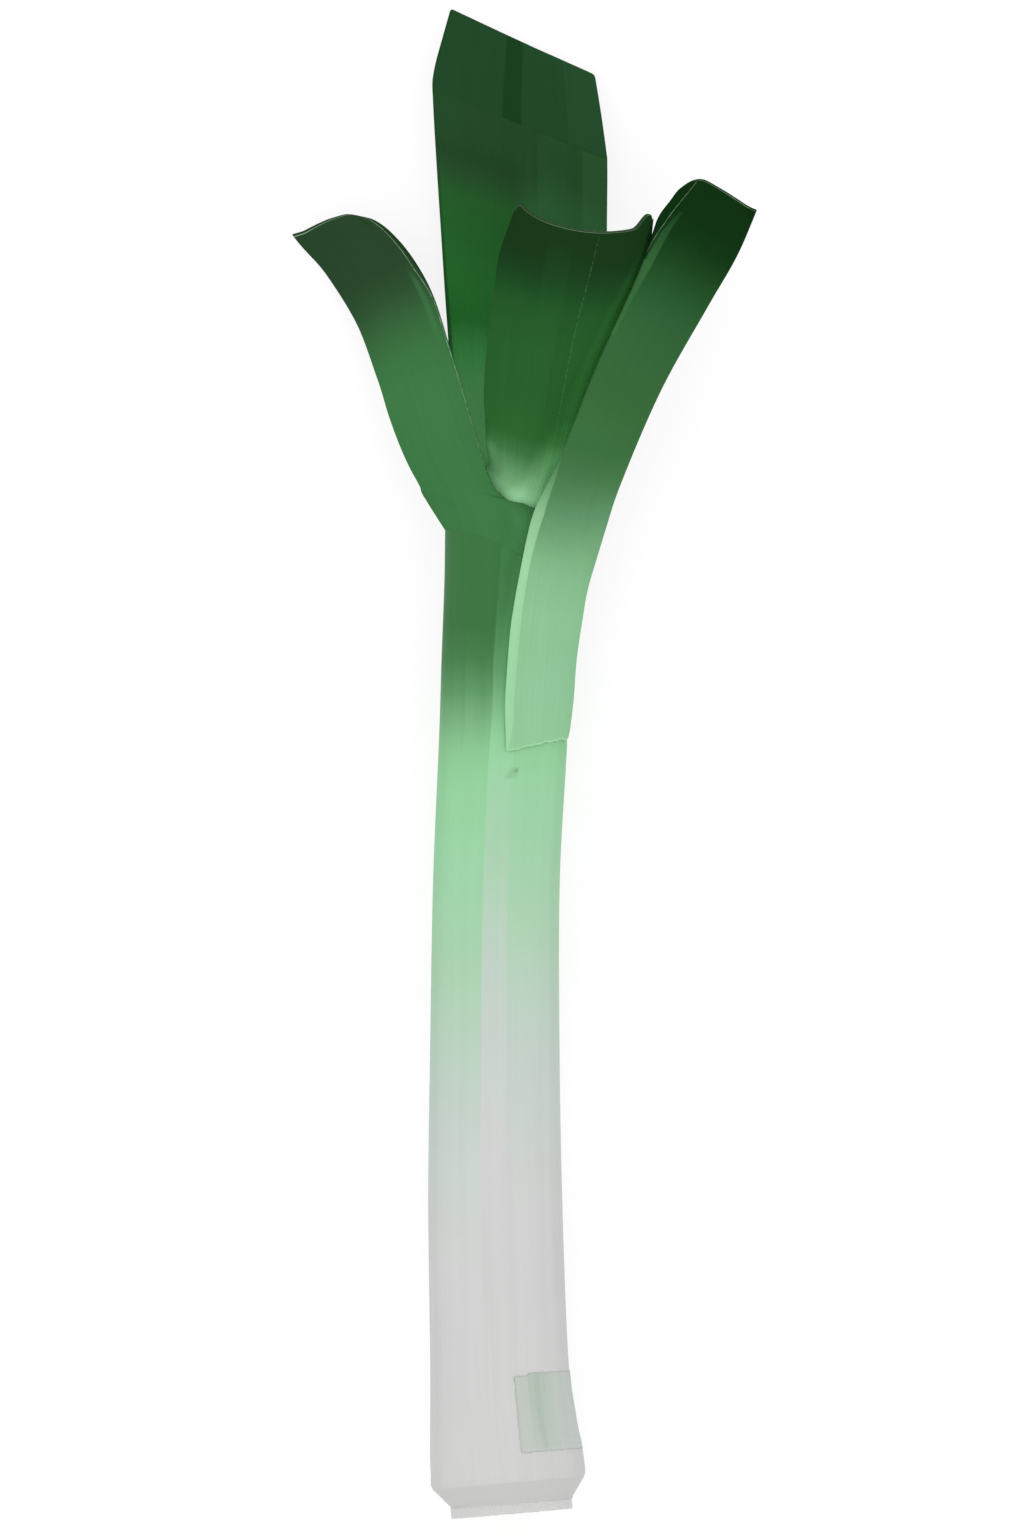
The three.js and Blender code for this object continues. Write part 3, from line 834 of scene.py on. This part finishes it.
def leaf_skin(name, half_width, stops, stripes, inner_stops=None):
    """The waxy skin of a leaf: its colours up the plant, outside and inside, and its stripes."""
    material, tree, shader = skin_material(name, 0.0)
    across, up = attribute(tree, "across"), attribute(tree, "up")
    sideways = calc(tree, "MULTIPLY", across, half_width)
    thread = placed(tree, fibres, Across=sideways, Along=up, Pitch=LEAF_VEIN_PITCH)
    bloom = placed(tree, wax_bloom, Vector=node(tree, "TexCoord").outputs["Object"])
    uneven = calc(tree, "SUBTRACT", thread["Streaks"], 0.5)
    reach = calc(tree, "ADD", up, calc(tree, "MULTIPLY", uneven, LEAF_UNEVEN_REACH))
    base = ramp(tree, reach, stops)
    if inner_stops:
        base = blended(tree, attribute(tree, "inside"), base, ramp(tree, reach, inner_stops))
    base = striped(tree, base, across, up, stripes)
    value = skin_value(tree, thread, bloom, veins=0.03, streaks=0.05, cloud=0.03)
    roughness = grainy(tree, bloom, least=0.5, spread=0.06)
    height = ribbed(tree, thread, bloom, grains=0.1)
    finish_skin(tree, shader, brightened(tree, base, value), height, roughness, relief=0.00003)
    return material


def add_leaf(name, leaf, skin, node_name, fringe=None):
    """Places a leaf, rounded by one subdivision, with its fringe torn if it has one."""
    piece = add_piece(name, leaf_mesh(leaf, fringe), [skin, flesh], [node_name])
    smooth = piece.modifiers.new("smooth", "SUBSURF")
    smooth.levels = 1
    smooth.render_levels = 1


flesh = cut_flesh()
BACK_STOPS = (
    (236, "407947"), (268, "407947"), (277, "3C7643"), (286, "2D6833"), (296, "206024"),
    (306, "235D26"), (316, "245A28"), (325, "245328"), (334, "254A2A"), (343, "254B2A"),
    (370, "254B2A"),
)
# The inner face: pale low down as a real leek is, and painted much lighter still as painted light, to
# lift the shade deep in the cleft between the leaves
BACK_INNER_PALE_AND_LIT_STOPS = (
    (236, "9AF4A5"), (265.6, "9AF4A5"), (269, "88E890"), (273, "81D788"), (279, "71C979"),
    (287, "55AF60"), (297, "2E7C35"), (307, "2D7332"), (317, "28672E"), (326, "2A5F2D"),
    (332, "274E2B"), (336, "254829"), (341, "264B2A"), (370, "264B2A"),
)
BACK_STRIPES = (
    ("30683A", 296, 342, (-0.6, -0.6), (0.415, 0.415), 0.01, 16, 0, 0.9),
    ("29532F", 318, 348.7, (-0.6, -0.59), (0.415, 0.4), 0.01, 0.2, 0, 0.6),
    ("3B6A3F", 320, 348.7, (-0.86, -0.86), (0.14, 0.14), 0.01, 0.2, 0, 0.3),
    # Painted light: a thin pale tint lifts the shade over one half of the leaf below the fold
    (PAINTED_LIGHT_TINT, 300, 346, (-0.5, -0.5), (0.5, 0.5), 0.12, 20, 0, 0.033),
    # Painted shade: past the fold the end is painted a little darker for its tilt away from the light,
    # with two columns in it
    ("23492A", 348.7, 371, (0, 0), (1.2, 1.2), 0.01, 0.1, 0, 1),
    ("264D2D", 348.7, 371, (-0.8, -0.8), (0.245, 0.245), 0.01, 0.1, 0, 1),
    ("1B4120", 348.7, 371, (0.098, 0.109), (0.107, 0.109), 0.008, 0.1, 0, 1),
    ("1E4423", 240, 371, (1.0, 1.0), (0.03, 0.03), 0.01, 4, 0, 0.5),
)
BACK_HALF_WIDTH = 21.5
back_end = corners(0, 0, start=0.5)
back_leaf = Leaf(BACK_ROWS, square_base=0.1, cut_end=back_end, tip_share=0.6, bow=SEAM_BOW)
back_skin = leaf_skin("back_skin", BACK_HALF_WIDTH, BACK_STOPS, BACK_STRIPES, BACK_INNER_PALE_AND_LIT_STOPS)
add_leaf("back_blade", back_leaf, back_skin, "leaf_back")

# ---------------------------------------------------------------------------
# Middle leaf. A young leaf still rolled into an open half tube, rising from the mouth of the
# sheath towards the eye. Its outer face is up, and its rim is cut straight across.
# ---------------------------------------------------------------------------

MIDDLE_ROWS = [
    (4.5, 248.9, 28.0, 24, 19.2, 19.2, 86, 86, 0.3, 0.3),
    (7.0, 255.5, 29.4, 20, 16.5, 17.5, 80, 82, 0.1, 0.1),
    (9.0, 263, 32.3, 16, 19.5, 18, 75, 80, 0, 0),
    (11.2, 272, 36.0, 13, 22.6, 18.5, 72, 82, -0.05, -0.05),
    (13.9, 286, 41.6, 10, 25.4, 19, 70, 82, -0.1, -0.1),
    (16.4, 297.5, 46.2, 8, 28.2, 20, 72, 84, -0.15, -0.15),
    (19.1, 307.5, 50.2, 6, 31.4, 22.9, 76, 83, -0.2, -0.2),
    (22.1, 319.6, 54.7, 5, 32.2, 21.9, 84, 90, -0.18, -0.2),
]
MIDDLE_STOPS = (
    (249, "8CC691"), (253, "83BF89"), (256.5, "75AE79"), (260, "5C9261"), (263.5, "3F7743"),
    (267.5, "2E672F"), (276, "2B622D"), (290, "295F2B"), (299, "26582A"), (304, "1F4B23"),
    (308, "1C4120"), (312, "1B3B1B"), (320, "1B391B"),
)

# The pale line that shows where a leaf was cut or its margin is worn
RIM_LINE = "B4D2B2"
MIDDLE_STRIPES = (
    # Painted light: the first ten stripes lift the shade that falls on the base of the leaf in the
    # mouth of the sheath, and on its right side along the edge of the right leaf
    (("C4FFCC", "92CE99"), 247, 254, (-0.1, -0.05), (0.4, 0.3), 0.15, 0.01, 0, 1),
    (("92CE99", "80C286"), 254, 259, (-0.05, 0.05), (0.3, 0.15), 0.15, 0.01, 0, 1),
    ("BDFFC9", 247, 252, (0.05, 0.08), (0.38, 0.38), 0.2, 0.01, 0, 1),
    (("BDFFC9", "92CF97"), 252, 256, (0.08, 0.12), (0.38, 0.34), 0.2, 0.01, 0, 1),
    (("92CF97", "80BE83"), 256, 259, (0.12, 0.15), (0.34, 0.31), 0.2, 0.01, 0, 1),
    (("80BE83", "72B473"), 259, 262, (0.15, 0.19), (0.31, 0.28), 0.2, 0.01, 0, 1),
    (("72B473", "459748"), 262, 270, (0.19, 0.27), (0.28, 0.2), 0.2, 0.01, 0, 1),
    ("459748", 270, 293, (0.27, 0.60), (0.2, 0.2), 0.18, 0.01, 0, 1),
    (("459748", "357838"), 293, 307, (0.60, 0.76), (0.2, 0.2), 0.18, 0.01, 0, 1),
    (("357838", "204720"), 307, 314, (0.76, 0.92), (0.2, 0.2), 0.18, 0.01, 0, 1),
    # Painted light: these three thin pale tints lift the shade on the base and along the left margin
    # beside the sheath
    (PAINTED_LIGHT_TINT, 249, 268, (0.05, 0.16), (0.1, 0.1), 0.14, 5, 0, 0.34),
    (PAINTED_LIGHT_TINT, 261, 274, (0.12, 0.2), (0.08, 0.08), 0.1, 3, 0, 0.07),
    (PAINTED_LIGHT_TINT, 247, 265, (-1.0, -1.0), (0.2, 0.2), 0.15, 5, 0, 0.32),
    ("2C6531", 284, 317, (-0.27, -0.285), (0.09, 0.113), 0.01, 6, 0, 0.1),
    ("1E4A22", 268, 317, (-0.08, -0.08), (0.08, 0.08), 0.01, 10, 0, 0.2),
    ("7FA67E", 262, 319.3, (0.0, 0.0), (0.002, 0.002), 0.003, 3, 0.85, 0.4),
    (RIM_LINE, 268, 305, (-1.0, -1.0), (0.006, 0.006), 0.005, 3, 0.75, 0.6),
    (RIM_LINE, 319.35, 319.5, (0, 0), (1.2, 1.2), 0.1, 0.05, 0.35, 0.4),
)
MIDDLE_RISE = 2.4
NIP_FROM, NIP_DEPTH = 0.86, 4.6
EAR_HEIGHT, EAR_RISES = 2.9, (0.44, 0.62)
EAR_DROP, EAR_FALLS = 3.4, (0.66, 0.9)
MIDDLE_HALF_WIDTH = 22


def eared_end(side):
    """The rim rises to a nipped left corner and has a small ear near its right margin."""
    nip = NIP_DEPTH * max(0, -side - NIP_FROM) / (1 - NIP_FROM)
    ear = EAR_HEIGHT * smoothstep(side, *EAR_RISES) - EAR_DROP * smoothstep(side, *EAR_FALLS)
    return corners(MIDDLE_RISE, 0, start=0.1)(side) - nip + ear


middle_leaf = Leaf(MIDDLE_ROWS, square_base=0.1, cut_end=eared_end, tip_share=0.45)
middle_skin = leaf_skin("middle_skin", MIDDLE_HALF_WIDTH, MIDDLE_STOPS, MIDDLE_STRIPES)
add_leaf("middle_blade", middle_leaf, middle_skin, "leaf_middle")

# ---------------------------------------------------------------------------
# Left leaf. It wraps the neck as a sheath, opens at a ragged mouth and bends away to the left
# until its cut tip rests on the table. Its outer face is up.
# ---------------------------------------------------------------------------

LEFT_ROWS = [
    (-8.1, 244.7, 30.5, -27, 24, 24, 86, 86, 0.334, 0.334),
    (-9.3, 249.6, 30.3, -27, 25, 23, 67, 66, 0.38, 0.36),
    (-11.6, 254.5, 30.0, -26, 20.0, 20, 56, 42, 0.31, 0.37),
    (-13.1, 257.1, 29.5, -26, 18.7, 13.1, 51, 34, 0.51, 0.66),
    (-14.8, 260, 28.8, -26, 17.2, 11.5, 46, 30, 0.57, 0.72),
    (-17.9, 266.5, 26.9, -26, 14.8, 10.9, 38, 28, 0.36, 0.3),
    (-21.6, 277.5, 23.2, -26, 13.7, 10.5, 32, 27, 0.1, 0),
    (-25.2, 289, 19.5, -25, 13.0, 10.6, 30, 26, 0, 0),
    (-30.7, 303.5, 15.0, -24, 12.8, 11.4, 26, 24, 0.05, 0.05),
    (-38.8, 316.7, 10.8, -22, 13.8, 12.1, 20, 20, 0.35, 0.35),
    (-46.6, 325.0, 8.2, -20, 15.3, 11.4, 18, 18, 0.72, 0.78),
]
LEFT_STOPS = (
    (245, "407A47"), (284, "407A47"), (290, "3D7744"), (298, "39673C"), (305, "2F5232"),
    (311, "2B472D"), (325, "29452B"),
)
LEFT_STRIPES = (
    ("447D4B", 289, 309, (0.8, 0.76), (0.075, 0.05), 0.03, 5, 0, 0.5),
    ("1E3C20", 301, 326, (0.98, 0.95), (0.02, 0.07), 0.015, 4, 0, 0.85),
    # Painted light: a thin pale tint lifts the shade on the sheath beside the right leaf's edge
    (PAINTED_LIGHT_TINT, 241, 255, (0.5, 0.78), (0.2, 0.16), 0.16, 4, 0, 0.13),
    ("52875A", 245.2, 259, (0.53, 0.62), (0.004, 0.004), 0.006, 3, 0.3, 0.5),
    ("24432A", 318.6, 323.8, (0.72, 0.8), (0.09, 0.05), 0.04, 1.5, 0, 0.5),
    (RIM_LINE, 308, 324.5, (0.875, 0.9), (0.005, 0.005), 0.005, 0.5, 0.35, 0.7),
    (RIM_LINE, 300.5, 308, (0.96, 0.875), (0.005, 0.005), 0.005, 0.2, 0.35, 0.7),
    ("9DBF9C", 262, 300.5, (0.985, 0.96), (0.009, 0.009), 0.008, 2, 0.7, 0.7),
    (RIM_LINE, 324.55, 324.7, (-0.1, -0.1), (0.98, 0.98), 0.02, 0.05, 0.4, 0.7),
)
LEFT_HALF_WIDTH = 13
FINE_TEAR_DEPTH = 0.6
# For the coarse tears and then the fine ones: how close they come, and their layer of noise
MOUTH_TEARS = ((95, 1.5), (230, 4.5))
MOUTH_RAGGED, MOUTH_TEAR_WAY = 0.42, Vector((0.4, 1, 0))
MOUTH_MARGIN, MOUTH_END, MOUTH_FADE = 0.9, 0.45, 0.1


def tear_at(place, tears):
    """How far an edge is torn at a place along it, as a share of its raggedness."""
    coarse, fine = (noise.noise(Vector((place * closeness, layer, 0))) for closeness, layer in tears)
    return coarse + FINE_TEAR_DEPTH * fine


def torn_mouth(side, share):
    """The small tears along the mouth of the sheath."""
    reach = smoothstep(side, MOUTH_MARGIN, 1) * smoothstep(share, MOUTH_END, MOUTH_END - MOUTH_FADE)
    return MOUTH_TEAR_WAY * tear_at(share, MOUTH_TEARS) * reach * MOUTH_RAGGED


left_end = corners(1, -1.9, start=0.6)
left_leaf = Leaf(LEFT_ROWS, square_base=0.5, cut_end=left_end, tip_share=0.6, bow=SEAM_BOW)
left_skin = leaf_skin("left_skin", LEFT_HALF_WIDTH, LEFT_STOPS, LEFT_STRIPES)
add_leaf("left_blade", left_leaf, left_skin, "leaf_left", torn_mouth)

# ---------------------------------------------------------------------------
# Right leaf. The outermost leaf parts from the shank lower down, along a ragged pale line,
# and passes over the others. Its side wall is painted lighter as painted light, a band that narrows to
# nothing.
# ---------------------------------------------------------------------------

RIGHT_ROWS = [
    (11.35, 193.2, 26.4, 54, 15.0, 7.6, 50, 27, -0.205, -0.16),
    (12.2, 203, 27.0, 53, 16.1, 16.3, 53, 55, -0.1, -0.1),
    (12.6, 213, 27.6, 52, 15.7, 16.4, 53, 53, -0.05, -0.05),
    (13.6, 223, 28.9, 50, 15.5, 15.5, 50, 50, 0, 0),
    (14.9, 233, 30.4, 47, 14.7, 14.2, 46, 46, 0, 0),
    (18.2, 248, 32.8, 42, 14.2, 11.6, 40, 34, 0, 0),
    (21.9, 261, 35.2, 36, 11.15, 10.2, 27, 27, 0, 0),
    (30.7, 284, 39.4, 30, 10.45, 10.0, 19, 20, 0, 0),
    (41.0, 305, 42.8, 24, 10.95, 10.55, 16, 17, 0, 0),
    (48.2, 319, 42.6, 20, 12.85, 10.85, 18, 16, 0, 0),
    (53.8, 330.4, 39.4, 18, 11.6, 9.9, 17, 15, 0, 0),
]
RIGHT_STOPS = (
    (193, "95CB9D"), (207, "93C99C"), (216, "8FC698"), (223, "8FC698"), (233, "89BF90"),
    (243, "77AC7D"), (250, "63976A"), (258, "4D7F50"), (265, "3F7343"), (275, "3C6C3C"),
    (289, "38673B"), (296, "346338"), (301, "2E5E34"), (306, "27542A"), (311, "1E4721"),
    (316, "153A18"), (322, "123314"), (331, "123213"),
)


def wall(paint, start, end, first_width, last_width):
    """The painted-light stripe for one stretch of the leaf's side wall, along its left margin: the
    wall painted lighter, as if more brightly lit than the face.
    """
    return paint, start, end, (-1.0, -1.0), (first_width, last_width), 0.01, 0.01, 0, 1


RIGHT_STRIPES = (
    wall("9FD5A5", 192.6, 199, 0.02, 0.14),
    wall("9FD5A5", 199, 217, 0.14, 0.165),
    wall("9FD5A5", 217, 236, 0.165, 0.145),
    # Painted shade: a broad soft darkening over the left of the face near the neck, where that part
    # faces up into more light
    (("1E3A20", "16301A"), 236, 270, (-1.0, -1.0), (0.9, 0.9), 0.9, 9, 0, 0.14),
    wall(("9FD5A5", "8FBF90"), 236, 248, 0.145, 0.19),
    wall(("8FBF90", "79AE7F"), 248, 252, 0.19, 0.16),
    wall(("79AE7F", "649668"), 252, 256, 0.16, 0.11),
    wall(("649668", "467A4A"), 256, 261, 0.11, 0.035),
    wall(("467A4A", "3C6E3F"), 261, 265, 0.035, 0.0),
    ("0F2F11", 308, 331, (-1.0, -1.0), (0.01, 0.33), 0.015, 2, 0, 0.8),
    # Painted light: further up, the left margin is painted as a lighter band again, running in towards
    # the tip
    (("3D703F", "3A6B3C"), 291, 301, (-1.0, -1.0), (0.08, 0.12), 0.02, 0.01, 0, 0.9),
    ("3A6B3C", 301, 308.5, (-1.0, -1.0), (0.12, 0.22), 0.02, 0.01, 0, 0.9),
    (("386839", "2B5530"), 308.5, 316, (-0.87, -0.756), (0.09, 0.065), 0.02, 0.01, 0, 0.9),
    (("2B5530", "1C401E"), 316, 321.5, (-0.756, -0.64), (0.065, 0.03), 0.02, 0.01, 0, 0.9),
    (RIM_LINE, 310, 318, (-1.0, -0.838), (0.004, 0.004), 0.004, 0.1, 0.4, 0.55),
    (RIM_LINE, 318, 329.6, (-0.838, -0.69), (0.004, 0.004), 0.004, 0.1, 0.4, 0.55),
    (RIM_LINE, 329.95, 330.1, (0.1, 0.1), (0.85, 0.85), 0.02, 0.05, 0.4, 0.5),
    ("0F2F11", 326.5, 331, (0.95, 0.85), (0.06, 0.16), 0.02, 0.5, 0, 0.6),
    ("ACE2B2", 192.9, 193.75, (0, 0), (1.2, 1.2), 0.1, 0.2, 0.3, 0.6),
)
RIGHT_HALF_WIDTH = 12
COLLAR_TEARS = ((13, 2.5), (31, 6.5))
COLLAR_RAGGED, COLLAR_END = 0.5, 0.03


def torn_collar(side, share):
    """The ragged line along which the leaf leaves the shank."""
    reach = smoothstep(share, COLLAR_END, 0)
    return Vector((0, 1, 0)) * tear_at(side, COLLAR_TEARS) * COLLAR_RAGGED * reach


right_end = corners(-6.4, 0.7, start=0.42, power=2.9)
right_leaf = Leaf(
    RIGHT_ROWS, square_base=0.1, cut_end=right_end, tip_share=0.6, base_share=0.1, base_length=0.38,
)
right_skin = leaf_skin("right_skin", RIGHT_HALF_WIDTH, RIGHT_STOPS, RIGHT_STRIPES)
add_leaf("right_blade", right_leaf, right_skin, "leaf_right", torn_collar)

# ---------------------------------------------------------------------------
# The table, the light and the eye. The onion lies on a wide white floor under soft light
# from above, seen from straight above through a long lens.
# ---------------------------------------------------------------------------

FLOOR_HALF = 12.0
FLOOR_PALE = 0.92
FLOOR_GLOW, FLOOR_SHADOW_SHARE = 1.04, 0.22
SKY_STRENGTH = 0.94
LAMP_SIZE, LAMP_POWER = 2.4, 7.0
LAMP_PLACE = Vector((-0.4, 0.4, 2.4))
EYE_HEIGHT = 3.0
VIEW_TALL = 0.3871
VIEW_PLANE = 0.016
VIEW_FAR = 50
VIEW_FROM_ROOT = Vector((0.1, 186.4)) * MM


def seen_share(tree):
    """1 for rays from the camera, a mirror or a glass, and 0 for light that falls on things."""
    path = node(tree, "LightPath").outputs
    seen = calc(tree, "MAXIMUM", path["Is Camera Ray"], path["Is Glossy Ray"])
    return calc(tree, "MAXIMUM", seen, path["Is Transmission Ray"])


def grey(level):
    return (level, level, level, 1)


def make_floor():
    """A floor that lights the plant as a pale one does and is seen white, with the shadow on it."""
    shape = bmesh.new()
    bmesh.ops.create_grid(shape, x_segments=1, y_segments=1, size=FLOOR_HALF)
    mesh = bpy.data.meshes.new("floor")
    shape.to_mesh(mesh)
    shape.free()
    material = bpy.data.materials.new("white_table")
    material.use_nodes = True
    tree = material.node_tree
    tree.nodes.remove(tree.nodes["Principled BSDF"])
    pale = node(tree, "BsdfDiffuse", (("Color", grey(FLOOR_PALE)),)).outputs[0]
    shaded = node(tree, "BsdfDiffuse", (("Color", grey(FLOOR_SHADOW_SHARE)),)).outputs[0]
    glow = node(tree, "Emission", (("Strength", FLOOR_GLOW - FLOOR_SHADOW_SHARE),)).outputs[0]
    white = node(tree, "AddShader", ((0, shaded), (1, glow))).outputs[0]
    mixed = node(tree, "MixShader", ((0, seen_share(tree)), (1, pale), (2, white))).outputs[0]
    tree.links.new(mixed, tree.nodes["Material Output"].inputs["Surface"])
    mesh.materials.append(material)
    floor = bpy.data.objects.new("floor", mesh)
    bpy.context.scene.collection.objects.link(floor)


def make_light():
    """An even white sky, and a wide soft lamp high above, a little left and towards the leaves."""
    world = bpy.data.worlds.new("studio")
    world.use_nodes = True
    tree = world.node_tree
    sky = tree.nodes["Background"]
    strength = rescale(tree, seen_share(tree), 0, 1, SKY_STRENGTH, 1.0, soft=False)
    tree.links.new(strength, sky.inputs["Strength"])
    sky.inputs["Color"].default_value = grey(1)
    bpy.context.scene.world = world
    lamp = bpy.data.lights.new("soft_box", "AREA")
    lamp.size = LAMP_SIZE
    lamp.energy = LAMP_POWER
    box = bpy.data.objects.new("soft_box", lamp)
    box.location = LAMP_PLACE
    box.rotation_euler = LAMP_PLACE.to_track_quat("Z", "Y").to_euler()
    bpy.context.scene.collection.objects.link(box)


def make_eye():
    """A camera straight above the plant, its lens long enough for the height that it frames."""
    lens = bpy.data.cameras.new("eye")
    lens.lens = lens.sensor_width * (EYE_HEIGHT - VIEW_PLANE) / VIEW_TALL
    lens.clip_end = VIEW_FAR
    eye = bpy.data.objects.new("eye", lens)
    eye.location = (plant_foot.x + VIEW_FROM_ROOT.x, plant_foot.y + VIEW_FROM_ROOT.y, EYE_HEIGHT)
    bpy.context.scene.collection.objects.link(eye)
    bpy.context.scene.camera = eye


make_floor()
make_light()
make_eye()
bpy.context.scene.view_settings.view_transform = "Standard"
